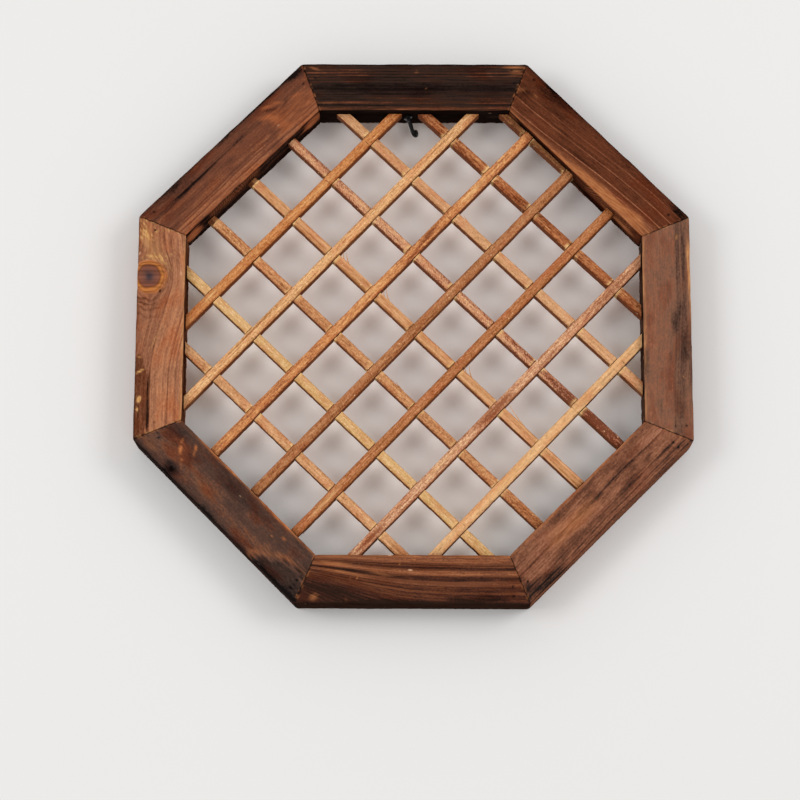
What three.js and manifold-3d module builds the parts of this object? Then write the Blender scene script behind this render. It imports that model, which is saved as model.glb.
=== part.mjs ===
// An octagonal lattice panel to hang on a wall, in the manner of a window grille.
// Eight mitred boards frame an open lattice of thin slats, half lapped where they cross.
// Millimetres. +X is right, +Z is up, and the panel faces -Y with its flat back at y = 0.
// The origin is the middle of the top board's back face, where the panel meets the wall.

import * as THREE from 'three';
import { mergeVertices } from 'three/addons/utils/BufferGeometryUtils.js';
import Module from 'manifold-3d';

const wasm = await Module();
wasm.setup();

// Frame
const acrossFlats = 335;
const boardDepth = 25;
const boardWidth = 29.4;
const topBoardExtraWidth = 1;
const boardEase = 0.5;
const mitreGap = 0.4;

// Lattice. The spaces divide half of the opening evenly, so one slat more would lie against a board.
const spacesPerHalf = 4;
const slatWidth = 6;
const slatThickness = 8;
const slatEase = 0.4;
const slatInset = 5.5;
const backSlatDrop = 0.5;
const frontSlatShift = -0.7;
const latticeTurn = 1.4;
const lapClearance = 0.3;
const seatClearance = 0.3;

// Cup hook under the top board
const hookWire = 2.1;
const hookStem = 9.3;
const hookBendRadius = 2.2;
const hookTip = 1.8;
const hookShank = 9;
const hookFlange = 5.4;
const hookFlangeThickness = 0.9;
const hookFromFront = 9.5;
const hookFromBay = -1.2;
const hookLean = 17;
const hookTurn = 60;
const hookClearance = 0.3;

const boardNames = ['top', 'upper_right', 'right', 'lower_right', 'bottom', 'lower_left', 'left', 'upper_left'];
const woodLook = { roughness: 0.75, metalness: 0 };
const steelLook = { color: 0x1c1b1c, roughness: 0.45, metalness: 0.8 };
const boardColors = [0x2c1a12, 0x5d3420, 0x6d4630, 0x5f4130, 0x5c3219, 0x4a2b1c, 0x70462c, 0x49281a];
const frontSlatColors = [0xa9672f, 0xc79456, 0xb8824a, 0x96683f, 0x9a6a42, 0xb08262, 0xcfa05c];
const backSlatColors = [0xb58653, 0x8d5a30, 0xbb8a58, 0x99694a, 0xc09058, 0xb58554, 0xcc9f5a, 0xb88a57];

// Facets
const hookSides = 12;
const hookSteps = 30;
const bendSteps = 14;
const flangeSides = 24;
const weldDistance = 1e-4;

const sides = boardNames.length;
const sideTurn = 2 * Math.PI / sides;
const outerReach = acrossFlats / 2;
const widths = boardNames.map((name) => (name === 'top' ? boardWidth + topBoardExtraWidth : boardWidth));
const innerReaches = widths.map((width) => outerReach - width);
const slatPitch = (outerReach - boardWidth) / spacesPerHalf;
const frontAngle = Math.PI / 4 + THREE.MathUtils.degToRad(latticeTurn);
const backAngle = frontAngle - Math.PI / 2;

// Solids

function toSolid(geometry) {
  const bare = geometry.clone().deleteAttribute('normal').deleteAttribute('uv');
  const merged = mergeVertices(bare, weldDistance);
  const vertProperties = Float32Array.from(merged.attributes.position.array);
  const triVerts = Uint32Array.from(merged.index.array);
  return new wasm.Manifold(new wasm.Mesh({ numProp: 3, vertProperties, triVerts }));
}

function toGeometry(solid) {
  const { vertProperties, triVerts } = solid.getMesh();
  const geometry = new THREE.BufferGeometry();
  geometry.setAttribute('position', new THREE.BufferAttribute(Float32Array.from(vertProperties), 3));
  geometry.setIndex(Array.from(triVerts));
  geometry.computeVertexNormals();
  return geometry;
}

function polygon(points) {
  return new THREE.Shape(points.map(([x, y]) => new THREE.Vector2(x, y)));
}

function mesh(name, geometry, look) {
  const piece = new THREE.Mesh(geometry, new THREE.MeshStandardMaterial(look));
  piece.name = name;
  return piece;
}

// Frame boards. In a board's own place it lies along X, and Z points out from the panel's centre.

function neighbour(side, step) {
  return (side + step + sides) % sides;
}

// How far along a line at one reach the neighbour's line at its own reach crosses it.
function crossing(reach, neighbourReach) {
  return (neighbourReach - reach * Math.cos(sideTurn)) / Math.sin(sideTurn);
}

function boardEnd(side, step) {
  const inner = innerReaches[side];
  const innerX = crossing(inner, innerReaches[neighbour(side, step)]);
  const outerX = crossing(outerReach, outerReach);
  const setBack = mitreGap / 2 * Math.hypot(outerX - innerX, outerReach - inner) / (outerReach - inner);
  return { inner: innerX - setBack, outer: outerX - setBack };
}

function boardGeometry(side) {
  const right = boardEnd(side, 1);
  const left = boardEnd(side, -1);
  const outline = polygon([
    [-left.inner, innerReaches[side]],
    [right.inner, innerReaches[side]],
    [right.outer, outerReach],
    [-left.outer, outerReach],
  ]);
  const geometry = new THREE.ExtrudeGeometry(outline, {
    depth: boardDepth - 2 * boardEase,
    bevelSize: boardEase,
    bevelThickness: boardEase,
    bevelOffset: -boardEase,
    bevelSegments: 1,
  });
  return geometry.translate(0, 0, boardEase).rotateX(Math.PI / 2);
}

function frameBoard(side) {
  const geometry = side === 0 ? boredTopBoard() : boardGeometry(side);
  const board = mesh(`board_${boardNames[side]}`, geometry, { color: boardColors[side], ...woodLook });
  board.rotation.y = side * sideTurn;
  return board;
}

// Lattice. Each family of slats lies along X in its own turned group, stacked along Z.

function slatRow(prefix, firstStep, shift, colors) {
  const row = [];
  for (let step = firstStep; step > -spacesPerHalf; step -= 1) {
    row.push({
      name: `${prefix}_${row.length + 1}`,
      offset: step * slatPitch + shift,
      end: Infinity,
      color: colors[row.length % colors.length],
    });
  }
  return row;
}

const frontSlats = slatRow('slat_front', spacesPerHalf - 1, frontSlatShift, frontSlatColors);
const backSlats = slatRow('slat_back', spacesPerHalf, 0, backSlatColors);

// The first back slat lies against a board, which trims it, and stops under the middle front slat.
const middleFrontSlat = frontSlats[spacesPerHalf - 1];
backSlats[0].end = slatWidth / 2 - middleFrontSlat.offset;

const frontFace = slatInset - boardDepth;
const backFace = frontFace + backSlatDrop;
const lapPlane = (frontFace + backFace + slatThickness) / 2;

function slatBlank(face) {
  const half = slatWidth / 2;
  const rear = face + slatThickness;
  const section = polygon([
    [face + slatEase, -half], [rear - slatEase, -half], [rear, -half + slatEase], [rear, half - slatEase],
    [rear - slatEase, half], [face + slatEase, half], [face, half - slatEase], [face, -half + slatEase],
  ]);
  const turnToX = new THREE.Matrix4().makeBasis(
    new THREE.Vector3(0, 1, 0), new THREE.Vector3(0, 0, 1), new THREE.Vector3(1, 0, 0));
  const geometry = new THREE.ExtrudeGeometry(section, { depth: acrossFlats, bevelEnabled: false });
  return geometry.translate(0, 0, -outerReach).applyMatrix4(turnToX);
}

// The frame's opening, less the clearance at the slats' ends, as a prism through the panel.
function openingPrism() {
  const corners = innerReaches.map((reach, side) => {
    const next = innerReaches[neighbour(side, 1)] - seatClearance;
    const corner = new THREE.Vector2(crossing(reach - seatClearance, next), reach - seatClearance);
    return corner.rotateAround(new THREE.Vector2(), -side * sideTurn);
  });
  const geometry = new THREE.ExtrudeGeometry(new THREE.Shape(corners), { depth: boardDepth, bevelEnabled: false });
  return geometry.rotateX(Math.PI / 2);
}

// A block across a slat, past both of its sides, between two places along it and two depths.
function block(fromX, toX, fromY, toY) {
  const geometry = new THREE.BoxGeometry(toX - fromX, toY - fromY, 2 * slatWidth);
  return toSolid(geometry.translate((fromX + toX) / 2, (fromY + toY) / 2, 0));
}

// A front slat loses its rear half where a back slat crosses, and a back slat its front half.
function lapCut(place, isFront) {
  const half = slatWidth / 2 + lapClearance;
  const past = frontFace - slatThickness;
  const behind = backFace + 2 * slatThickness;
  return isFront
    ? block(place - half, place + half, lapPlane - lapClearance / 2, behind)
    : block(place - half, place + half, past, lapPlane + lapClearance / 2);
}

function latticeFamily(slats, others, angle, isFront) {
  const family = new THREE.Group();
  family.rotation.y = -angle;
  family.updateMatrix();
  const face = isFront ? frontFace : backFace;
  const handed = isFront ? 1 : -1;
  for (const slat of slats) {
    const toSlat = new THREE.Matrix4().makeTranslation(0, 0, -slat.offset)
      .multiply(family.matrix.clone().invert());
    let solid = toSolid(slatBlank(face)).intersect(toSolid(openingPrism().applyMatrix4(toSlat)));
    if (slat.end < Infinity) {
      solid = solid.subtract(block(slat.end, slat.end + acrossFlats, face - slatThickness, slatThickness));
    }
    for (const other of others) {
      const place = handed * other.offset;
      const otherPlace = -handed * slat.offset;
      if (place < slat.end && otherPlace < other.end) {
        solid = solid.subtract(lapCut(place, isFront));
      }
    }
    const piece = mesh(slat.name, toGeometry(solid), { color: slat.color, ...woodLook });
    piece.position.z = slat.offset;
    family.add(piece);
  }
  return family;
}

// Cup hook. In its own place the screw points up Z, and the flange's middle is at the origin.

const leanAngle = THREE.MathUtils.degToRad(hookLean);
const hookDrop = hookFlange / 2 * Math.sin(leanAngle) + hookFlangeThickness / 2 * Math.cos(leanAngle)
  + hookClearance;

function rod(path, diameter, steps) {
  const ring = new THREE.Shape();
  ring.absarc(0, 0, diameter / 2, 0, 2 * Math.PI);
  const curveSegments = hookSides / 2;
  return toSolid(new THREE.ExtrudeGeometry(ring, { extrudePath: path, steps, curveSegments }));
}

function hookGeometry() {
  const bend = [];
  for (let i = 0; i <= bendSteps; i += 1) {
    const angle = Math.PI * (1 + i / bendSteps);
    const x = hookBendRadius * (1 + Math.cos(angle));
    bend.push(new THREE.Vector3(x, 0, -hookStem + hookBendRadius * Math.sin(angle)));
  }
  const tip = bend[bendSteps].clone().add(new THREE.Vector3(0, 0, hookTip));
  const shankEnd = new THREE.Vector3(0, 0, hookShank);
  const path = new THREE.CatmullRomCurve3([shankEnd, new THREE.Vector3(), ...bend, tip]);
  const flange = new THREE.CylinderGeometry(hookFlange / 2, hookFlange / 2, hookFlangeThickness, flangeSides);
  return toGeometry(rod(path, hookWire, hookSteps).add(toSolid(flange.rotateX(Math.PI / 2))));
}

// Where a slat's middle line crosses the top board's inner face.
function topPlace(slat, angle) {
  return (innerReaches[0] * Math.cos(angle) - slat.offset) / Math.sin(angle);
}

// The hook hangs in the bay between the first front slat and the second back slat.
function placeHook(object) {
  const bay = (topPlace(frontSlats[0], frontAngle) + topPlace(backSlats[1], backAngle)) / 2;
  object.rotation.set(0, -leanAngle, THREE.MathUtils.degToRad(hookTurn), 'YXZ');
  object.position.set(bay + hookFromBay, hookFromFront - boardDepth, innerReaches[0] - hookDrop);
  object.updateMatrix();
  return object;
}

// The top board, with a leaning hole for the hook's screw.
function boredTopBoard() {
  const reach = hookShank + hookClearance;
  const radius = hookWire / 2 + hookClearance;
  const drill = new THREE.CylinderGeometry(radius, radius, 2 * reach, hookSides).rotateX(Math.PI / 2);
  const place = placeHook(new THREE.Object3D());
  return toGeometry(toSolid(boardGeometry(0)).subtract(toSolid(drill.applyMatrix4(place.matrix))));
}

// Assembly

const panel = new THREE.Group();
panel.position.z = -(outerReach + innerReaches[0]) / 2;
for (let side = 0; side < sides; side += 1) {
  panel.add(frameBoard(side));
}
panel.add(latticeFamily(frontSlats, backSlats, frontAngle, true));
panel.add(latticeFamily(backSlats, frontSlats, backAngle, false));
panel.add(placeHook(mesh('hanging_hook', hookGeometry(), steelLook)));

const grille = new THREE.Group();
grille.add(panel);

export default grille;
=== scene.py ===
import math

import bpy
import numpy as np
from mathutils import Matrix, Vector


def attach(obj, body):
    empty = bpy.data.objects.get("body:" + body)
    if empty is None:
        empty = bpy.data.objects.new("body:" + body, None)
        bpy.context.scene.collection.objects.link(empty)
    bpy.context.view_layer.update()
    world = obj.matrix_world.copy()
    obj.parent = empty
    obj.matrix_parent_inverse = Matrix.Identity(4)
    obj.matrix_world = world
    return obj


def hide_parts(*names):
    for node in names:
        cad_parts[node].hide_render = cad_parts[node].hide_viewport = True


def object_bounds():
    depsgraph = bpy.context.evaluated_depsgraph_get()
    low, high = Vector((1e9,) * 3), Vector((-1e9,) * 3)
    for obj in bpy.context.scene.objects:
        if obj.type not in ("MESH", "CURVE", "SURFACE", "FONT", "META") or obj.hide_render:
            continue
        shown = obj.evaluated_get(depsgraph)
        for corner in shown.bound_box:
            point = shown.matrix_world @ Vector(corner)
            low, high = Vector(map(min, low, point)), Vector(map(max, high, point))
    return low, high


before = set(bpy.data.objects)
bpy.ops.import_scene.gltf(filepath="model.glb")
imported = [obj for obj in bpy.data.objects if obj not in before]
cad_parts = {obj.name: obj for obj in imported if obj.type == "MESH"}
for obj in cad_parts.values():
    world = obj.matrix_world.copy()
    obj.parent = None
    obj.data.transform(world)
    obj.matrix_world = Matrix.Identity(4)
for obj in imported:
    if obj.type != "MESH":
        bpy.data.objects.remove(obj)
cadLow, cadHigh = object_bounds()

# Octagonal window grille: eight charred softwood boards round a lattice of half-lapped slats.
# Meshes are worked out in millimetres in each piece's own axes: X along it, Z across it, Y its depth.
perMetre = 1000
millimetre = 1 / perMetre

# Places that come from the frame, in millimetres
panelMiddle = (cadLow + cadHigh) / 2 * perMetre
outerReach = (cadHigh.x - cadLow.x) / 2 * perMetre
boardDepth = (cadHigh.y - cadLow.y) * perMetre
centre = Vector((panelMiddle.x, 0, panelMiddle.z))
boardOrder = ["board_top", "board_upper_right", "board_right", "board_lower_right",
              "board_bottom", "board_lower_left", "board_left", "board_upper_left"]
eighthTurn = math.radians(45)


# Small tools

def linear(hexColour):  # an sRGB hex value as the linear colour that the shaders want
    parts = [int(hexColour[i:i + 2], 16) / 255 for i in (1, 3, 5)]
    return tuple(c / 12.92 if c <= 0.04045 else ((c + 0.055) / 1.055) ** 2.4 for c in parts) + (1,)


def smoothStep(low, high, value):
    t = np.clip((value - low) / (high - low), 0, 1)
    return t * t * (3 - 2 * t)


def fade(distance, reach):  # 1 up to a distance of 0, then dying away
    return np.exp(-np.maximum(distance, 0) / reach)


def bell(distance, halfWidth):  # 1 on a line, falling off to both sides of it
    return np.exp(-(distance / halfWidth) ** 2)


def softNoise(seed, x, y):
    # A smooth random field from -1 to 1, with about one bump to a unit. Each use adds a number of its own
    # to the piece's seed, so that no two fields are alike.
    cells = 97
    table = np.random.default_rng(seed).uniform(-1, 1, (cells, cells))
    x, y = np.broadcast_arrays(np.asarray(x, float), np.asarray(y, float))
    column, row = np.floor(x).astype(int), np.floor(y).astype(int)
    u, v = smoothStep(0, 1, x - column), smoothStep(0, 1, y - row)
    left, right = column % cells, (column + 1) % cells
    low, high = row % cells, (row + 1) % cells
    lower = table[left, low] * (1 - u) + table[right, low] * u
    upper = table[left, high] * (1 - u) + table[right, high] * u
    return lower * (1 - v) + upper * v


def bumps(relief, seed, x, y):  # smooth bumps, for a relief that is (depth, size along, size across)
    depth, length, width = relief
    return depth * (0.5 + 0.5 * softNoise(seed, x / length, y / width))


def ovalReach(x, y, oval):  # 0 in the middle of a tilted oval and 1 on its rim
    middleX, middleY, halfLength, halfWidth, tilt = oval
    dx, dy, angle = x - middleX, y - middleY, math.radians(tilt)
    along = dx * math.cos(angle) + dy * math.sin(angle)
    across = -dx * math.sin(angle) + dy * math.cos(angle)
    return np.hypot(along / halfLength, across / halfWidth)


def spot(x, y, mark, fringe=0):
    # A mark's strength in its core, falling to 0 at its rim, which the fringe moves in and out. A mark is
    # (middle x, middle y, half length, half width, tilt in degrees, strength, the core's share of it),
    # and its last number may be left out.
    usualCore = 0.1
    *oval, strength, core = (*mark, usualCore)[:7]
    return (1 - smoothStep(core, 1, ovalReach(x, y, oval) + fringe)) * strength


def ringTurn(sides):  # the angles of a round ring's points
    return np.arange(sides) / sides * 2 * math.pi


def cadCorners(node):  # the corners of a CAD node's mesh, in millimetres
    return np.array([v.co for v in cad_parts[node].data.vertices]) * perMetre


def solidMesh(name, shells, facts=None, sharpAngle=38):
    # One smooth-shaded mesh of closed shells. A shell is a row of rings with as many points each, skinned
    # and closed with one face at both ends. Facts are numbers for the points, which the materials read.
    points, faces = [], []
    for rings in shells:
        count, sides = rings.shape[:2]
        number = np.arange(count * sides).reshape(count, sides) + len(points)
        here, there = number[:-1], number[1:]
        quads = np.stack([here, there, np.roll(there, -1, 1), np.roll(here, -1, 1)], -1).reshape(-1, 4)
        faces += quads.tolist() + [number[0].tolist(), number[-1][::-1].tolist()]
        points += (rings.reshape(-1, 3) * millimetre).tolist()
    mesh = bpy.data.meshes.new(name)
    mesh.from_pydata(points, [], faces)
    for fact, values in (facts or {}).items():
        attribute = mesh.attributes.new(fact, "FLOAT", "POINT")
        attribute.data.foreach_set("value", np.asarray(values, np.float32).ravel())
    mesh.update()
    mesh.polygons.foreach_set("use_smooth", [True] * len(mesh.polygons))
    mesh.set_sharp_from_angle(angle=math.radians(sharpAngle))
    return mesh


def addObject(name, data):
    added = bpy.data.objects.new(name, data)
    bpy.context.scene.collection.objects.link(added)
    return added


def addPiece(name, mesh, place, material, slot, *nodes):
    piece = addObject(name, mesh)
    piece.matrix_world = place
    mesh.materials.append(material)
    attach(piece, "root")
    if nodes:
        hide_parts(*nodes)


def addNode(tree, kind, inputs=(), stops=(), **settings):
    # Adds a shader node, sets or links its inputs, by number in a list or by name, and returns its outputs
    node = tree.nodes.new("ShaderNode" + kind)
    for key, value in settings.items():
        setattr(node, key, value)
    for key, value in inputs.items() if isinstance(inputs, dict) else enumerate(inputs):
        if isinstance(value, bpy.types.NodeSocket):
            tree.links.new(value, node.inputs[key])
        else:
            node.inputs[key].default_value = value
    if stops:
        ramp = node.color_ramp
        while len(ramp.elements) < len(stops):
            ramp.elements.new(0.5)
        for element, (place, colour) in zip(ramp.elements, stops):
            element.position = place
            element.color = colour
    return node.outputs


def newMaterial(name):
    material = bpy.data.materials.new(name)
    material.use_nodes = True
    material.node_tree.nodes.clear()
    return material, material.node_tree


# Wood

# A pattern is its length, depth and width in mm, and its detail. The real fibres are under 0.1 mm wide
# and wouldn't show, so lines, fibre and grit are drawn coarser.
woodCommon = {
    "bandSpan": (-8.0, 38.0),         # mm across the grain that the ring bands cover
    "patternStart": (3.7, 1.3, 2.1),  # times the seed, so that no two pieces share a pattern
    "patternRoughness": 0.55,
    "tintFrom": (0.46, 0.66),         # the cloud's values between which the tint comes in
    "glowFrom": (0.3, 0.7),           # the fibre's values between which a worn place turns paler
    "knots": [],
    "speckRim": (0.16, 0.06),         # where a speck fades, as shares of the specks' spacing
    "gritHeight": 0.6,                # beside 1 for lines and fibre
    "bumpHeight": 0.2,                # mm
    "ior": 1.5,
}


def woodMaterial(name, look):
    # Softwood, flame-darkened and wire-brushed for the boards and sawn for the slats. To the eye it is dull
    # and fibrous: rings and fibres run along the piece and follow its grain, flame marks and painted shade
    # darken it, and worn places show the orange wood beneath. Its tone from 0 to 1 picks the colour between
    # char and pale wood.
    material, tree = newMaterial(name)
    own = addNode(tree, "TexCoord")["Object"]
    place = addNode(tree, "SeparateXYZ", [own])
    grain, charAndShade, glow, side = [addNode(tree, "Attribute", attribute_name=fact)["Fac"]
                               for fact in ("grain", "charAndShade", "glow", "side")]
    seed = look["seed"]

    # Coordinates in millimetres that follow the grain: along, depth, across
    alongMm, depthMm = [addNode(tree, "Math", [place[axis], perMetre], operation="MULTIPLY")[0]
                        for axis in ("X", "Y")]
    fibreSpace = addNode(tree, "CombineXYZ", [alongMm, depthMm, grain])[0]

    patterns = {}
    for pattern, (length, depth, width, detail) in look["patterns"].items():
        start = [seed * shift for shift in look["patternStart"]]
        stretched = addNode(tree, "Mapping", {"Vector": fibreSpace, "Location": start,
                                              "Scale": (1 / length, 1 / depth, 1 / width)})[0]
        patterns[pattern] = addNode(tree, "TexNoise", {"Vector": stretched, "Scale": 1, "Detail": detail,
                                                       "Roughness": look["patternRoughness"]})["Fac"]

    # Ring bands: the grain place, pushed about by the waver, picks light and dark wood
    low, high = look["bandSpan"]
    shift = look["waver"] / 2
    waver = addNode(tree, "Math", [patterns["waver"], look["waver"], grain], operation="MULTIPLY_ADD")[0]
    bandPlace = addNode(tree, "MapRange", [waver, low + shift, high + shift])[0]
    bandStops = [((mm - low) / (high - low), (light, light, light, 1)) for mm, light in look["bands"]]
    tone = addNode(tree, "ValToRGB", [bandPlace], bandStops)[0]
    for pattern, share in zip(("lines", "fibre", "cloud", "grit"), look["shares"]):
        swing = addNode(tree, "Math", [patterns[pattern], 0.5], operation="SUBTRACT")[0]
        tone = addNode(tree, "Math", [swing, share, tone], operation="MULTIPLY_ADD")[0]

    if "saw" in look:  # the marks of the saw blade, across the grain
        spacing, slant, share = look["saw"]
        sawPlace = addNode(tree, "Math", [grain, slant, alongMm], operation="MULTIPLY_ADD")[0]
        sawTurn = addNode(tree, "Math", [sawPlace, 2 * math.pi / spacing], operation="MULTIPLY")[0]
        sawWave = addNode(tree, "Math", [sawTurn], operation="SINE")[0]
        tone = addNode(tree, "Math", [sawWave, share, tone], operation="MULTIPLY_ADD")[0]

    # Flame marks, painted shade, worn places and sawn sides: the painted masks, broken up by the clouds and
    # lines
    ragged = addNode(tree, "Math", [patterns["cloud"], patterns["lines"]], operation="ADD")[0]
    swing = addNode(tree, "Math", [ragged, 1], operation="SUBTRACT")[0]
    broken = addNode(tree, "Math", [swing, look["ragged"], 1], operation="MULTIPLY_ADD")[0]
    charAndShadeShare, glowShare, sideCharAndShadeShare = [
        addNode(tree, "Math", [broken, mask], operation="MULTIPLY", use_clamp=True)[0]
        for mask in (charAndShade, glow, side)]
    tone = addNode(tree, "Math", [charAndShadeShare, -look["charAndShadeDepth"], tone], operation="MULTIPLY_ADD")[0]

    steps = len(look["tones"]) - 1
    toneStops = [(i / steps, linear(shade)) for i, shade in enumerate(look["tones"])]
    colour = addNode(tree, "ValToRGB", [tone], toneStops)[0]
    tinted = addNode(tree, "MapRange", [patterns["cloud"], *look["tintFrom"], 0, look["tintShare"]])[0]
    glowPlace = addNode(tree, "MapRange", [patterns["fibre"], *look["glowFrom"]])[0]
    glowStops = [(i, linear(shade)) for i, shade in enumerate(look["glow"])]
    glowColour = addNode(tree, "ValToRGB", [glowPlace], glowStops)[0]
    layers = [(tinted, linear(look["tint"]), "MULTIPLY"), (sideCharAndShadeShare, linear(look["sideCharAndShadeColour"]), "MIX"),
              (glowShare, glowColour, "MIX")]

    for knot in look["knots"]:  # a knot: its own rings about a dark heart, with an orange rim
        reach = addNode(tree, "Attribute", attribute_name="knot")["Fac"]
        ringPlace = addNode(tree, "Math", [swing, knot["ragged"], reach], operation="MULTIPLY_ADD")[0]
        rings = addNode(tree, "ValToRGB", [ringPlace], [(p, linear(c)) for p, c in knot["rings"]])[0]
        shade = addNode(tree, "MapRange", [patterns["grit"], *knot["gritFrom"], *knot["gritShade"]])[0]
        rings = addNode(tree, "Mix", {0: 1.0, 6: rings, 7: shade}, data_type="RGBA",
                        blend_type="MULTIPLY")[2]
        inside = addNode(tree, "MapRange", [ringPlace, *knot["rim"]], interpolation_type="SMOOTHSTEP")[0]
        layers.append((inside, rings, "MIX"))

    # Specks: pale chips that the wire brush tore out
    speckSpace = addNode(tree, "Mapping", {"Vector": fibreSpace, "Location": (seed, seed, seed),
                                           "Scale": (1 / look["speckLength"], 1, 1)})[0]
    specks = addNode(tree, "TexVoronoi", {"Vector": speckSpace, "Scale": 1 / look["speckSpacing"]})
    near = addNode(tree, "MapRange", [specks["Distance"], *look["speckRim"]])[0]
    chosen = addNode(tree, "SeparateColor", [specks["Color"]])[0]
    some = addNode(tree, "Math", [chosen, look["speckShare"]], operation="LESS_THAN")[0]
    speck = addNode(tree, "Math", [near, some], operation="MULTIPLY")[0]
    layers.append((speck, linear(look["speckColour"]), "MIX"))
    for share, over, blend in layers:
        colour = addNode(tree, "Mix", {0: share, 6: colour, 7: over}, data_type="RGBA", blend_type=blend)[2]

    # Char is dull, and the harder bare wood shines a little
    rough = addNode(tree, "MapRange", [tone, 0, 1, *look["roughness"]])[0]
    height = addNode(tree, "Math", [patterns["fibre"], patterns["lines"]], operation="ADD")[0]
    height = addNode(tree, "Math", [patterns["grit"], look["gritHeight"], height],
                     operation="MULTIPLY_ADD")[0]
    bump = addNode(tree, "Bump", {"Height": height, "Strength": look["bump"],
                                  "Distance": look["bumpHeight"] * millimetre})[0]
    surface = addNode(tree, "BsdfPrincipled", {"Base Color": colour, "Roughness": rough, "Normal": bump,
                                               "Metallic": 0, "IOR": look["ior"],
                                               "Specular IOR Level": look["shine"]})[0]
    addNode(tree, "OutputMaterial", {"Surface": surface})
    return material


# Frame boards

boardCommon = {
    # Form, in mm
    "ease": 0.7,                      # radius of the long edges
    "frontStep": 0.85, "sideStep": 1.1, "backStep": 1.5,  # between points round the section
    "alongSteps": 150,
    "endRings": (0, 0.25, 0.7, 1.3),  # close rings at each mitre
    "endClear": 1.8,                  # the other rings keep off the mitres by this
    "mitreGap": 0.01,                 # so that no light comes through the joints
    # Relief: its depth, and the size of its bumps along and across, in mm
    "ringDepth": 0.16,                # brushed-out soft wood between the rings
    "ringEdge": (3, 0.45),            # how sharply it starts, and at which tone
    "fibreRelief": (0.10, 9, 1.1),
    "unevenRelief": (0.16, 26, 9),
    "sawRelief": (0.22, 1.6, 3.5),    # the unplaned inner sides and back
    "edgeWear": (0.5, 7, 20, 0.2),    # and how common it is
    "edgeWearReach": 0.8,
    "endWear": (0.35, 0.45),          # wear at the mitres: depth and reach
    "knotGroove": (0.25, 0.12),       # depth in mm, and half width as a share of the knot's radius
    "deepest": 1.2,
    # The grain: its slope through the depth, a bend (rise, start, reach) in mm, and the rings drawing
    # together towards one end (amount, start, reach, power)
    "ringSlope": 0.4, "bend": (0, 0, 60), "squeeze": (0, 0, 60, 4),
    # Which points count as a face: how far in from it, how softly that ends, and where the sides begin
    "faceSkin": (0.5, 0.6), "sideStart": (0.2, 1.4),
    # Char on the sides, at the outer edge (with its reach in mm) and at the mitres (amount and reach)
    "innerChar": 0.75, "outerChar": 0.25, "backChar": 0.1, "outerEdgeChar": 0.8, "edgeChar": 1.1,
    "mitreChar": (1.2, 0.25),
    # Pale rubbed wood along the inner front edge: amount, how common, length, and (place, half width)
    "innerEdgeGlow": 0.75, "rubbedShare": 0.7, "rubbedLength": 7, "rubbedPlace": (0.8, 0.8),
    # and beside the joints: amount, (how common, width, depth), and (place, half width)
    "mitreWear": 0.5, "mitreRub": (1.8, 1.3, 1.6), "mitrePlace": (0.5, 0.4),
    # How far the fibres carry a mark's rim in and out, as a share of the mark, in waves of two sizes. The
    # pale rim of a burn moves by less, by rimShare of it.
    "fringe": 0.22, "fringeFine": (8, 1.3), "fringeWide": (15, 5), "rimShare": 1 / 3,
    "rims": [], "innerRubs": [], "hatches": [], "flecks": [],
    "fleckRanges": ((0.8, 2.0), (0.6, 0.8), (-30, 30)),  # half length, half width and tilt
    # Hatches waver by (amount, size), fade in and out over a length and through the depth, and thin the char
    "hatchWaver": (2, 9), "hatchFade": 5, "hatchDepth": (9, 15), "hatchChar": 0.6,
    "bradStain": (1.4, 1.2, 0, 0.6),
    "patterns": {"waver": (38, 9, 9, 1), "lines": (46, 1.8, 1.1, 2), "fibre": (7, 1.4, 0.9, 3),
                 "grit": (1.5, 1.1, 0.9, 2), "cloud": (22, 12, 9, 2)},
    "tint": "#b79a98", "tintShare": 0.6, "sideCharAndShadeColour": "#1a100c", "charAndShadeDepth": 0.7,
    "glow": ["#8a4c2a", "#bd7c50"],
    "speckLength": 2.2, "speckSpacing": 5.5, "speckShare": 0.05, "speckColour": "#c99a78",
    "roughness": (0.78, 0.6), "bump": 0.8, "shine": 0.0,
}
# Brad heads. Their outline is (radius in diameters, mm below the face).
brads = {"diameter": 1.3, "sides": 10, "outline": ((0.25, 0.24), (0.42, 0.26), (0.5, 0.34), (0.5, 2.2))}

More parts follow.
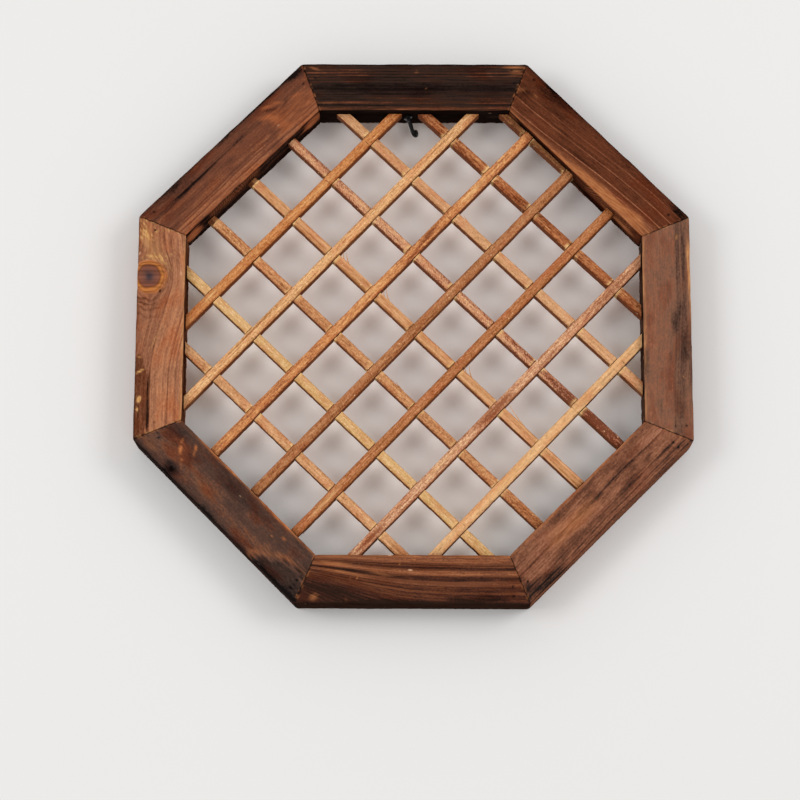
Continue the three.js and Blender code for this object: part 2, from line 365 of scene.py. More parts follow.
# Places are in millimetres from the board's middle and its inner edge, seen from the front with the inner
# edge below. Bands are (place across the grain, tone), and shares are how much the lines, fibre, cloud
# and grit change the tone. Burns are charred marks and rubs are worn ones, both (along, across, half
# length, half width, tilt, strength, core); innerRubs are rubs on the inner side, with the depth for
# across. A rim is a pale line round a burn, where the flame stopped, with its thickness last. Hatches are
# (start, end, spacing, slant, strength), flecks (start, end, lowest, highest, amount, strength), and a
# knot's arcs (distance in its radii, strength).
boardLooks = {
    "board_top": {
        "seed": 1, "tones": ["#1b1310", "#32241f", "#40271c", "#70402d", "#b17048"],
        "bands": [(-6, 0.5), (0.4, 0.42), (1.2, 0.62), (2.4, 0.55), (3.3, 0.16), (4.0, 0.2), (4.6, 0.66),
                  (5.5, 0.58), (6.2, 0.3), (8, 0.36), (10.5, 0.16), (11.5, 0.34), (12.5, 0.18),
                  (16.5, 0.17), (18, 0.18), (18.8, 0.45), (19.7, 0.18), (20.7, 0.5), (21.6, 0.2),
                  (22.6, 0.6), (23.5, 0.2), (24.5, 0.62), (25.4, 0.22), (26.4, 0.6), (27.3, 0.22),
                  (28.3, 0.55), (29.4, 0.24), (36, 0.3)],
        "waver": 1.2, "shares": (0.9, 0.4, 0.5, 0.3), "ragged": 2.8, "speckShare": 0.03, "innerChar": 1.0,
        "outerEdgeChar": 0.4, "innerEdgeGlow": 0.1,
        "burns": [(0, 14, 66, 6, 0, 0.22), (-14, 23, 24, 9, 0, 0.3, 0)],
        "rubs": [(1.4, 24.9, 2.0, 0.8, 0, 0.5), (1.4, 26.6, 1.6, 0.6, 0, 0.4), (61, 28.2, 9, 0.9, 0, 0.8),
                 (62, 26.0, 7, 0.8, 0, 0.7), (63, 23.4, 6, 0.7, 4, 0.5), (-61, 27.0, 6, 0.9, -18, 0.5),
                 (-52, 5, 12, 0.9, 0, 0.4), (-8, 0.9, 7, 0.8, 0, 0.6), (7, 14.4, 0.7, 0.6, 0, 0.3)],
        "brads": [(60, 26.3), (61.5, 18), (-61, 21)],
    },
    "board_upper_right": {
        "seed": 2, "tones": ["#170d0a", "#4a2719", "#663824", "#804e36", "#b27755"],
        "bands": [(-8, 0.85), (-4, 0.78), (-1, 0.72), (0.8, 0.56), (2.3, 0.44), (2.9, 1.0), (3.5, 0.4),
                  (6, 0.5), (9.1, 0.46), (9.7, 0.86), (10.3, 0.4), (13, 0.5), (14.9, 0.46), (15.5, 0.74),
                  (16.1, 0.4), (20, 0.5), (26, 0.44), (30, 0.36), (36, 0.36)],
        "bend": (8.8, -66, 120), "waver": 0.9, "shares": (0.36, 0.5, 0.7, 0.5), "ragged": 1.8,
        "tint": "#c08a72", "innerChar": 0.7, "outerEdgeChar": 0.5, "edgeChar": 1.4,
        "burns": [(-45, 23, 32, 11, 8, 0.42, 0), (64, 27, 14, 5, -20, 0.5), (-58, 12, 9, 9, 0, 0.3),
                  (52, 3.6, 9, 0.7, 0, 0.8), (46, 1.6, 11, 0.6, 0, 0.7), (-8, 1.0, 7, 0.7, 0, 0.6)],
        "rubs": [(22, 2.8, 50, 5.4, 3, 1.2), (-18, 1.2, 34, 1.3, 1, 0.5), (-51, 18.5, 3.5, 1.8, 0, 0.45),
                 (-60, 15, 6, 2, 60, 0.3)],
        "innerRubs": [(40, 13, 16, 5, 10, 0.7), (-54, 8, 8, 6, 0, 0.6)],
        "hatches": [(8, 52, 3.1, 0.9, 0.5)], "brads": [(-59, 25), (59.5, 21.5), (61, 26)],
    },
    "board_right": {
        "seed": 3, "tones": ["#1c1512", "#583e33", "#795543", "#935e46", "#c38565"],
        "bands": [(-6, 0.5), (2, 0.62), (8, 0.66), (14, 0.6), (19, 0.62), (20.2, 0.56), (20.9, 0.4),
                  (21.6, 0.5), (22.6, 0.38), (23.4, 0.54), (24.2, 0.36), (25.2, 0.46), (26.4, 0.5),
                  (28, 0.64), (36, 0.6)],
        "bend": (-2.6, -20, 70), "waver": 1.4, "shares": (0.26, 0.4, 0.55, 0.55), "ragged": 1.3,
        "glow": ["#9c6540", "#cc9464"], "outerEdgeChar": 0.1,
        "burns": [(-4, 19.4, 13, 3.8, -3, 0.5, 0), (16, 25.8, 40, 6.5, 2, 0.55, 0),
                  (22, 1.6, 13, 2.2, 0, 0.7), (-44, 25.2, 34, 1.6, 1, 0.4, 0),
                  (-48, 21.6, 26, 1.6, 0, 0.3, 0), (50, 22, 12, 5, 20, 0.12, 0),
                  (10, 17.4, 26, 1.2, -6, 0.15)],
        "rubs": [(-34, 28.7, 38, 1.8, 1, 1.8), (-57, 21.2, 2.4, 0.9, 0, 0.9), (30, 23.6, 0.9, 0.7, 0, 0.9),
                 (12.4, 7.8, 1.0, 0.8, 0, 0.9)],
        "brads": [(-57.5, 20.8), (60, 25), (60.5, 18.4)],
    },
    "board_lower_right": {
        "seed": 4, "tones": ["#1d1714", "#362722", "#6d4432", "#9b674d", "#c59172"],
        "bands": [(-6, 0.5), (1, 0.66), (3, 0.56), (6, 0.62), (9, 0.7), (11, 0.66), (11.7, 0.4),
                  (12.4, 0.6), (14, 0.68), (18, 0.66), (20.4, 0.6), (21, 0.44), (21.6, 0.58), (24, 0.6),
                  (24.8, 0.34), (25.6, 0.64), (26.4, 0.5), (27, 0.7), (27.8, 0.36), (28.8, 0.6), (36, 0.5)],
        "bend": (1.2, -20, 70), "waver": 2.2, "shares": (0.34, 0.45, 0.85, 0.45), "ragged": 1.2,
        "outerChar": 0.0, "outerEdgeChar": 0.2,
        "burns": [(-24, 19.8, 17, 4.4, 4, 0.38, 0), (-28, 9.6, 21, 5, 4, 0.38, 0),
                  (56, 26.4, 22, 7, -8, 0.55, 0), (-52, 21.2, 13, 1.0, -1, 0.5),
                  (6, 3.4, 20, 2.2, -4, 0.15), (64, 17, 5, 9, 0, 0.3), (-10, 11.8, 50, 0.8, 0, 0.25)],
        "rubs": [(18, 13, 32, 8, -3, 0.5, 0), (0, 0.6, 56, 0.9, 0, 0.5), (-62, 8, 5, 1.2, -60, 0.3)],
        "brads": [(-60, 25.4), (-60, 21), (59, 26), (61, 18.7)],
    },
    "board_bottom": {
        "seed": 5, "tones": ["#2b1d17", "#4f2d22", "#73452d", "#6d412e", "#9c6241"],
        "bands": [(-6, 0.6), (0.6, 0.66), (1.6, 0.84), (4.6, 0.92), (6.0, 0.62), (6.7, 0.2), (7.3, 0.5),
                  (8.0, 0.16), (9.2, 0.26), (10.2, 0.86), (12.6, 0.94), (13.4, 0.26), (14.4, 0.16),
                  (15.8, 0.2), (16.8, 0.7), (18.6, 0.78), (19.6, 0.2), (20.8, 0.34), (22, 0.16),
                  (22.8, 0.55), (23.6, 0.5), (24.4, 0.22), (25.6, 0.36), (27, 0.24), (27.8, 0.4), (30, 0.2),
                  (36, 0.16)],
        "squeeze": (1.25, -60, 120, 4), "waver": 1.2, "shares": (0.7, 0.5, 0.5, 0.5), "ragged": 2.0,
        "outerEdgeChar": 0.35,
        "burns": [(0, 28.6, 66, 3, 0, 0.4), (-40, 26, 34, 5, 0, 0.25, 0), (46, 22, 26, 9, -8, 0.2, 0)],
        "rubs": [(58, 25.5, 3.6, 3, 20, 0.55, 0.2), (39, 27, 1.6, 3.4, 12, 0.12, 0),
                 (-1, 3.4, 0.9, 0.8, 0, 1.2), (7.5, 5.6, 0.7, 1.2, 0, 0.7), (32.5, 14.4, 0.7, 1.4, 0, 0.8),
                 (36.5, 14.2, 0.7, 1.4, 0, 0.6), (22, 11, 16, 1.4, -10, 0.4), (42, 10.6, 24, 1.2, -10, 0.7),
                 (44, 5.8, 22, 1.2, -6, 0.7)],
        "brads": [(-59.5, 24.6), (-59, 18.9), (59.3, 25.3)],
    },
    "board_lower_left": {
        "seed": 6, "tones": ["#171312", "#40302a", "#5b4035", "#875940", "#b37d5a"],
        "bands": [(-6, 0.4), (1, 0.5), (4, 0.46), (8, 0.42), (12, 0.5), (17, 0.56), (21, 0.58), (26, 0.5),
                  (30, 0.4), (36, 0.3)],
        "bend": (-2, -60, 80), "waver": 4, "shares": (0.16, 0.36, 1.0, 0.45), "ragged": 1.1,
        "tint": "#b08078", "tintShare": 0.75, "glow": ["#8a4a2a", "#cf8450"],
        "burns": [(-60, 31, 29, 16, 0, 0.44, 0.85), (4, 6, 34, 7, -3, 0.28, 0),
                  (40.5, 24.5, 7, 6.2, 0, 0.55, 0.2), (40, 25, 2.4, 1.8, 0, 0.3), (54, 8, 13, 9, 0, 0.3, 0),
                  (36, 14, 8, 9, 0, 0.2, 0), (62, 15.8, 6, 0.8, 0, 0.6), (20, 11, 20, 3, 8, 0.15, 0)],
        "rims": [(-60, 31, 30.6, 17.8, 0, 0.24, 0.07)],
        "rubs": [(44.5, 13.5, 5.8, 1.8, -52, 1.7, 0), (39.6, 17, 1.4, 1.0, -40, 1.2, 0),
                 (47.5, 9.5, 3.4, 1.0, -70, 0.8, 0), (37, 20, 3, 0.8, -30, 0.5, 0),
                 (38.5, 6.6, 4.6, 1.1, -51, 1.4, 0), (37, 9.5, 3, 0.8, -50, 0.6, 0),
                 (-31.4, 10.8, 1.2, 0.8, 30, 1.2), (-37.6, 7, 2.8, 0.8, 0, 1.1), (60, 23, 7, 5, 0, 0.2, 0),
                 (20, 20, 16, 4, -6, 0.12, 0), (0, 0.6, 60, 0.8, 0, 0.4)],
        "brads": [(-61, 24.5), (-60.5, 18.5), (61.5, 22.9), (59, 17.4)],
    },
    "board_left": {
        "seed": 7, "tones": ["#2b1a13", "#6a3f2a", "#915f46", "#b97e5a", "#dc9f77"],
        "bands": [(-6, 0.5), (0.8, 0.7), (2.2, 0.6), (3.4, 0.72), (5.2, 0.5), (6.0, 0.66), (8.6, 0.62),
                  (9.2, 0.4), (9.8, 0.64), (13, 0.7), (16, 0.62), (19.4, 0.66), (20.2, 0.4), (21.2, 0.56),
                  (23.4, 0.5), (25, 0.58), (26, 0.44), (27, 0.56), (30, 0.5), (36, 0.5)],
        "bend": (-6, -30, 46), "waver": 1.8, "shares": (0.45, 0.4, 0.6, 0.45), "ragged": 1.6,
        "tint": "#d09a78", "glow": ["#b07640", "#dcae74"], "outerChar": 0.1, "outerEdgeChar": 0.35,
        "innerEdgeGlow": 0.4,
        "knots": [{
            "at": (31.2, 22.2), "radius": 9.7, "stretch": 1.04, "depthShare": 0.35, "waver": (0.07, 3.5),
            "ragged": 0.45, "rim": (1.12, 1.0), "gritFrom": (0.3, 0.7), "gritShade": (0.55, 1.35),
            "arcs": [(1.4, 0.4), (1.68, 0.4), (2.0, 0.3), (2.4, 0.2)], "arcWidth": 0.07,
            "arcWaver": (0.16, 6, 3), "arcsAlong": (0, -6), "arcsAcross": (14, 19),
            "rings": [(0, "#332d33"), (0.14, "#453537"), (0.34, "#6b463b"), (0.62, "#7c4b3a"),
                      (0.7, "#6d402c"), (0.78, "#9c5d2f"), (0.86, "#b3713c"), (0.94, "#92572e"),
                      (1.0, "#ad6a3f")],
        }],
        "burns": [(-44, 26, 30, 6.2, 0, 0.36, 0.85), (-44, 20.7, 32, 0.9, 0, 0.5, 0.3),
                  (50, 9, 14, 1.6, 4, 0.3), (46, 5.0, 14, 1.2, 4, 0.22), (-60, 10, 10, 0.9, 0, 0.25),
                  (22.5, 15.4, 2.2, 1.1, 0, 1.0)],
        "rubs": [(-45, 26.2, 2.6, 1.5, -20, 1.6, 0), (-51, 27.2, 1.2, 0.8, 0, 1.5),
                 (-27.4, 25.6, 4.4, 0.8, -58, 1.2), (-19, 26.6, 1.0, 0.8, 0, 1.2),
                 (56, 24, 14, 6, 0, 0.16, 0), (-8, 17.4, 15, 0.8, -25, 0.5, 0), (34, 10.6, 8, 1.4, 0, 0.3),
                 (40, 13, 8, 3, 40, 0.3), (44, 21, 1.3, 6, -8, 0.7), (48, 20, 18, 8, 0, 0.25, 0),
                 (60, 25.5, 1.2, 2.4, 20, 0.4), (55, 27.5, 2.4, 0.8, 10, 0.4)],
        "flecks": [(53, 68, 18, 30, 26, 0.9), (58, 62, 4, 18, 8, 0.9), (34, 46, 8, 16, 12, 0.5),
                   (41, 46, 14, 28, 10, 0.6)],
        "brads": [(-59, 16.6), (60.5, 19), (61, 25.5)],
    },
    "board_upper_left": {
        "seed": 8, "tones": ["#1c1310", "#593629", "#764632", "#9d6546", "#cf8f63"],
        "bands": [(-6, 0.4), (0.8, 0.34), (1.6, 0.66), (3.6, 0.7), (4.4, 0.4), (5.0, 0.64), (6.6, 0.7),
                  (7.4, 0.44), (8.2, 0.64), (9, 0.4), (11, 0.6), (13, 0.48), (16, 0.46), (19, 0.5),
                  (20.4, 0.44), (21.2, 0.32), (22.2, 0.48), (25, 0.44), (28, 0.34), (36, 0.3)],
        "bend": (-1.6, -20, 70), "waver": 2.0, "shares": (0.32, 0.36, 0.9, 0.45), "ragged": 1.2,
        "tint": "#ad7c70", "glow": ["#83452a", "#b46b42"], "innerChar": 0.85, "outerEdgeChar": 0.4,
        "burns": [(7, 21.4, 16, 1.8, 2, 0.5, 0.1), (-36, 20.4, 34, 1.8, 1, 0.4, 0),
                  (-42, 25, 40, 9, 0, 0.3, 0), (-50, 14, 20, 7, 0, 0.14, 0), (64, 26.5, 14, 5, -8, 0.45, 0),
                  (30, 28.6, 44, 1.8, 0, 0.4), (34, 22, 6, 0.9, -30, 0.5, 0),
                  (44, 18.4, 6, 1.2, 10, 0.5, 0), (-30, 14.5, 14, 1.0, 1, 0.4)],
        "rubs": [(46, 11, 26, 10, 5, 0.55, 0), (-20, 4, 40, 3.6, 0, 0.25, 0),
                 (35, 24.2, 6, 1.2, -24, 0.9, 0), (41, 22, 6, 1.1, -40, 0.9, 0),
                 (29, 20, 6, 2.2, -30, 0.6, 0), (34, 11, 5, 9, 20, 0.5, 0), (52, 17.5, 9, 3, -14, 0.5, 0)],
        "innerRubs": [(-51, 12, 10, 10, 0, 0.9, 0.4), (50, 10, 12, 8, 0, 0.8, 0.3)],
        "hatches": [(-40, 6, 3.0, 1.1, 0.9)], "brads": [(-61, 24.6), (60.5, 27), (61, 19.5)],
    },
}


def innerReach(name):  # how far the board's inner side lies from the middle, in mm
    turn = -boardOrder.index(name) * eighthTurn
    corners = cadCorners(name)
    outward = (corners[:, 2] - centre.z) * math.cos(turn) - (corners[:, 0] - centre.x) * math.sin(turn)
    return float(outward.min())


innerReaches = [innerReach(name) for name in boardOrder]


def boardSection(look, inner):
    # One turn round the section: points (depth, distance from the panel's middle) and the way in from each
    ease, front, back = look["ease"], -boardDepth, 0.0
    sides = [((front, inner), (front, outerReach), (1, 0), look["frontStep"]),
             ((front, outerReach), (back, outerReach), (0, -1), look["sideStep"]),
             ((back, outerReach), (back, inner), (-1, 0), look["backStep"]),
             ((back, inner), (front, inner), (0, 1), look["sideStep"])]
    points, inwards = [], []
    for i, (start, end, inward, step) in enumerate(sides):
        start, end, inward = np.array(start), np.array(end), np.array(inward, float)
        way = (end - start) / np.linalg.norm(end - start)
        length = np.linalg.norm(end - start) - 2 * ease
        count = round(length / step)
        for k in range(count + 1):
            points.append(start + way * (ease + length * k / count))
            inwards.append(inward)
        nextInward = np.array(sides[(i + 1) % 4][2], float)
        middle = end + ease * (inward + nextInward)
        for share in (0.25, 0.5, 0.75):  # the eased edge
            angle = share * math.pi / 2
            inwards.append(inward * math.cos(angle) + nextInward * math.sin(angle))
            points.append(middle - ease * inwards[-1])
    return np.array(points), np.array(inwards)


def mitreEnds(look, index):
    # Each end's mitre as a line: how far along it meets the inner edge, and its slope outwards
    inner, ends = innerReaches[index], []
    for neighbour in (innerReaches[index - 1], innerReaches[(index + 1) % 8]):
        nearX = (neighbour - inner * math.cos(eighthTurn)) / math.sin(eighthTurn)
        farX = outerReach * math.tan(eighthTurn / 2)
        slope = (farX - nearX) / (outerReach - inner)
        ends.append((nearX - look["mitreGap"] / 2 * math.hypot(1, slope), slope))
    return ends


def betweenMitres(ends, across, shares):
    # Both ends of the board at these places across it, and the points that lie these shares of the way along
    left = -(ends[0][0] + ends[0][1] * across)
    right = ends[1][0] + ends[1][1] * across
    return left, right, left + (right - left) * shares[:, None]


def boardMasks(look, at):  # how charred each point is, and how far worn to the orange wood
    along, across, depth, grain, seed = at["along"], at["across"], at["depth"], at["grain"], look["seed"]
    charAndShade = look["innerChar"] * at["inner"] + look["outerChar"] * at["outer"] + look["backChar"] * at["back"]
    charAndShade += look["outerEdgeChar"] * fade(np.hypot(at["width"] - across, depth), look["edgeChar"])
    rubbed = np.clip(look["rubbedShare"] + softNoise(seed + 86, along / look["rubbedLength"], across), 0, 1)
    place, halfWidth = look["rubbedPlace"]
    glow = look["innerEdgeGlow"] * rubbed * bell(across - place, halfWidth) * at["front"]

    (fineLong, fineWide), (longWave, wideWave) = look["fringeFine"], look["fringeWide"]
    fringe = look["fringe"] * (softNoise(seed + 80, along / fineLong, grain / fineWide)
                               + softNoise(seed + 81, along / longWave, across / wideWave))
    for mark in look["burns"]:
        charAndShade += spot(along, across, mark, fringe) * at["front"]
    for *oval, strength, thickness in look["rims"]:
        rim = ovalReach(along, across, oval) + fringe * look["rimShare"] - 1
        glow += strength * bell(rim, thickness) * at["front"]
    for mark in look["rubs"]:
        glow += spot(along, across, mark, fringe) * at["front"]
    for mark in look["innerRubs"]:
        pale = spot(along, depth, mark, fringe) * at["inner"]
        glow += pale
        charAndShade -= pale
    draw = np.random.default_rng(seed + 87)
    for start, end, lowest, highest, amount, strength in look["flecks"]:  # fibres torn up by the wire brush
        for _ in range(amount):
            ranges = ((start, end), (lowest, highest), *look["fleckRanges"])
            oval = [draw.uniform(*between) for between in ranges]
            glow += spot(along, across, (*oval, strength, 0)) * at["front"]
    for knot in look["knots"]:  # dark arcs round one side of the knot
        beside = smoothStep(*knot["arcsAlong"], along - knot["at"][0])
        beside = beside * smoothStep(*knot["arcsAcross"], across) * at["front"]
        waver, length, width = knot["arcWaver"]
        arcPlace = at["knot"] + waver * softNoise(seed + 85, across / width, along / length)
        for ratio, strength in knot["arcs"]:
            charAndShade += strength * bell(arcPlace - ratio, knot["arcWidth"]) * beside
    for start, end, spacing, slant, strength in look["hatches"]:  # grain running out through the inner side
        waver, size = look["hatchWaver"]
        slope = slant * (depth + waver * softNoise(seed + 82, along / size, depth / size))
        stripes = np.clip(np.sin(2 * math.pi * ((along + slope) / spacing)), 0, 1) ** 2
        window = smoothStep(start, start + look["hatchFade"], along)
        window = window * (1 - smoothStep(end - look["hatchFade"], end, along)) * at["inner"]
        window = window * (1 - smoothStep(*look["hatchDepth"], depth))
        glow += strength * stripes * window
        charAndShade -= look["hatchChar"] * strength * stripes * window
    for x, z in look["brads"]:  # a dark stain round each brad
        charAndShade += spot(along, across, (x, z, *look["bradStain"])) * at["front"]
    amount, width, deep = look["mitreRub"]
    rubbed = np.clip(amount * softNoise(seed + 83, across / width, depth / deep), 0, 1)
    place, halfWidth = look["mitrePlace"]
    glow += look["mitreWear"] * rubbed * bell(at["toEnd"] - place, halfWidth) * at["front"]
    amount, reach = look["mitreChar"]
    charAndShade += amount * fade(at["toEnd"], reach)
    return charAndShade, glow


def boardRelief(look, at):  # how far each point moves in, in mm
    along, across, depth, grain, seed = at["along"], at["across"], at["depth"], at["grain"], look["seed"]
    places, tones = zip(*look["bands"])
    sharpness, edge = look["ringEdge"]
    lightWood = 0.5 + 0.5 * np.tanh(sharpness * (np.interp(grain, places, tones) - edge))
    relief = look["ringDepth"] * lightWood
    relief += bumps(look["fibreRelief"], seed, along, grain)
    relief += bumps(look["unevenRelief"], seed + 20, along, across + depth)
    relief += bumps(look["sawRelief"], seed + 40, along, depth) * (at["inner"] + at["back"])
    corner = np.minimum(np.hypot(across, depth), np.hypot(at["width"] - across, depth))
    wear, length, width, common = look["edgeWear"]
    worn = np.clip(softNoise(seed + 60, along / length, across / width) + common, 0, 1)
    relief += wear * fade(corner, look["edgeWearReach"]) * worn
    wear, reach = look["endWear"]
    relief += wear * fade(at["toEnd"], reach)
    groove, halfWidth = look["knotGroove"]
    relief += groove * bell(at["knot"] - 1, halfWidth)
    return np.minimum(relief, look["deepest"])


def buildBoard(index, name):
    look = {**woodCommon, **boardCommon, **boardLooks[name]}
    inner, ends, seed = innerReaches[index], mitreEnds(look, index), look["seed"]
    section, inward = boardSection(look, inner)
    innerLength = ends[0][0] + ends[1][0]
    shares = np.linspace(0, 1, look["alongSteps"])
    clear = look["endClear"]
    shares = shares[(shares * innerLength > clear) & ((1 - shares) * innerLength > clear)]
    nearEnd = np.array(look["endRings"]) / innerLength
    shares = np.concatenate([nearEnd, shares, 1 - nearEnd[::-1]])
    left, right, along = betweenMitres(ends, section[:, 1] - inner, shares)
    depth = section[:, 0] + boardDepth + 0 * along
    across = section[:, 1] - inner + 0 * along
    width = outerReach - inner

    grain = across + look["ringSlope"] * depth
    rise, start, reach = look["bend"]
    grain = grain - rise * smoothStep(start, start + reach, along)
    drawn, start, reach, power = look["squeeze"]
    grain = grain * (1 + drawn * np.clip((along - start) / reach, 0, None) ** power)
    knotPlace = np.full(along.shape, 9.0)  # from the knot's middle, in its radii; 9 is clear of any knot
    for knot in look["knots"]:  # the rings flow round a knot as water flows round a post
        dx = (along - knot["at"][0]) / knot["stretch"]
        dz = across - knot["at"][1]
        reachSquared = dx ** 2 + dz ** 2 + (knot["depthShare"] * depth) ** 2
        grain = grain - dz * np.minimum(1, knot["radius"] ** 2 / np.maximum(reachSquared, 1e-6))
        knotPlace = np.minimum(knotPlace, np.sqrt(reachSquared) / knot["radius"])
        waver, size = knot["waver"]
        knotPlace = knotPlace + waver * softNoise(seed + 84, along / size, across / size)

    skin, blur = look["faceSkin"]
    sides = smoothStep(*look["sideStart"], depth)
    at = {"along": along, "across": across, "depth": depth, "grain": grain, "knot": knotPlace,
          "width": width, "toEnd": np.minimum(along - left, right - along),
          "front": fade(depth - skin, blur), "back": fade(boardDepth - depth - skin, blur),
          "inner": fade(across - skin, blur) * sides, "outer": fade(width - across - skin, blur) * sides}
    charAndShade, glow = boardMasks(look, at)
    relief = boardRelief(look, at)
    y = depth - boardDepth + relief * inward[:, 0]
    z = across + relief * inward[:, 1]
    x = betweenMitres(ends, z, shares)[2]
    facts = {"grain": grain, "charAndShade": charAndShade, "glow": glow, "knot": knotPlace, "side": np.zeros(along.shape)}
    mesh = solidMesh(name, [np.stack([x, y, z + inner], -1)], facts)
    place = Matrix.Translation(centre * millimetre) @ Matrix.Rotation(index * eighthTurn, 4, "Y")
    material = woodMaterial("charred softwood, " + name.replace("_", " "), look)
    addPiece(name + "_wood", mesh, place, material, "charred_frame_wood", name)
    buildBrads(name + "_brads", look["brads"], inner, place)


def buildBrads(name, middles, inner, place):  # brad heads, punched just under the face
    turn, shells = ringTurn(brads["sides"]), []
    for x, z in middles:
        rings = []
        for diameters, sunk in brads["outline"]:
            r = diameters * brads["diameter"]
            rings.append(np.stack([x + r * np.cos(turn), 0 * turn + sunk - boardDepth,
                                   z + inner + r * np.sin(turn)], -1))
        shells.append(np.array(rings))
    addPiece(name, solidMesh(name, shells), place, steel, "blackened_steel")


# Steel

steelLook = {"black": "#0d0c0c", "bare": "#8f8b86", "wearSize": 0.8, "bareFrom": (0.66, 0.74),
             "roughness": (0.3, 0.6), "metallic": 0.8}


def steelMaterial():
    # Wire blackened in oil: nearly black, with the bare metal rubbed through in small spots
    material, tree = newMaterial("oil-blackened steel")
    own = addNode(tree, "TexCoord")["Object"]
    wear = addNode(tree, "TexNoise", {"Vector": own, "Scale": perMetre / steelLook["wearSize"],
                                      "Detail": 3})["Fac"]
    rubbed = addNode(tree, "MapRange", [wear, *steelLook["bareFrom"]])[0]
    colour = addNode(tree, "Mix", {0: rubbed, 6: linear(steelLook["black"]), 7: linear(steelLook["bare"])},
                     data_type="RGBA")[2]
    rough = addNode(tree, "MapRange", [wear, 0, 1, *steelLook["roughness"]])[0]
    surface = addNode(tree, "BsdfPrincipled", {"Base Color": colour, "Roughness": rough,
                                               "Metallic": steelLook["metallic"]})[0]
    addNode(tree, "OutputMaterial", {"Surface": surface})
    return material


# Cup hook, screwed into the underside of the top board. Its own Z points up its screw, sizes are in mm and
# angles in degrees. Steps are the rings of its stem, bend and tip, and the flange's outline is in its half
# diameters and half thicknesses.
cupHook = {"wire": 2.6, "stem": 9.3, "bendRadius": 2.2, "tip": 1.8, "tipRound": 0.9, "intoBoard": 1.5,
           "flange": 5.4, "flangeThickness": 0.9, "lean": 17, "turn": 60, "middle": (-3.75, -15.5, -16.72),
           "sides": 16, "steps": (14, 15, 7),
           "outline": ((0.5, 1), (0.93, 1), (1, 0.6), (1, 0), (0.92, -0.5), (0.62, -1), (0.45, -1.2))}


def buildHook():
    radius, bend, stem = cupHook["wire"] / 2, cupHook["bendRadius"], cupHook["stem"]
    stemSteps, bendSteps, tipSteps = cupHook["steps"]
    path = [(0, z) for z in np.linspace(cupHook["intoBoard"], -stem, stemSteps)]
    path += [(bend - bend * math.cos(a), -stem - bend * math.sin(a))
             for a in np.linspace(0, math.pi, bendSteps)[1:]]
    path += [(2 * bend, z - stem) for z in np.linspace(0, cupHook["tip"], tipSteps)[1:]]
    path = np.array(path)
    ways = np.gradient(path, axis=0)
    ways /= np.linalg.norm(ways, axis=1)[:, None]
    toEnd = np.linalg.norm(path - path[-1], axis=1)
    thin = np.clip(1 - toEnd / cupHook["tipRound"], 0, 0.97)  # a rounded tip that stays a ring
    thickness = (radius * np.sqrt(1 - thin ** 2))[:, None]
    turn = ringTurn(cupHook["sides"])
    wire = np.stack([path[:, :1] + thickness * np.cos(turn) * -ways[:, 1:], thickness * np.sin(turn),
                     path[:, 1:] + thickness * np.cos(turn) * ways[:, :1]], -1)
    half, rim = cupHook["flangeThickness"] / 2, cupHook["flange"] / 2
    flange = np.array([np.stack([rim * r * np.cos(turn), rim * r * np.sin(turn), 0 * turn + half * z], -1)
                       for r, z in cupHook["outline"]])
    place = (Matrix.Translation(Vector(cupHook["middle"]) * millimetre)
             @ Matrix.Rotation(-math.radians(cupHook["lean"]), 4, "Y")
             @ Matrix.Rotation(math.radians(cupHook["turn"]), 4, "Z"))
    mesh = solidMesh("cup_hook", [wire, flange])
    addPiece("cup_hook", mesh, place, steel, "blackened_steel", "hanging_hook")


steel = steelMaterial()
buildHook()
for index, name in enumerate(boardOrder):
    buildBoard(index, name)
print("hook, boards and brads done")


# Lattice

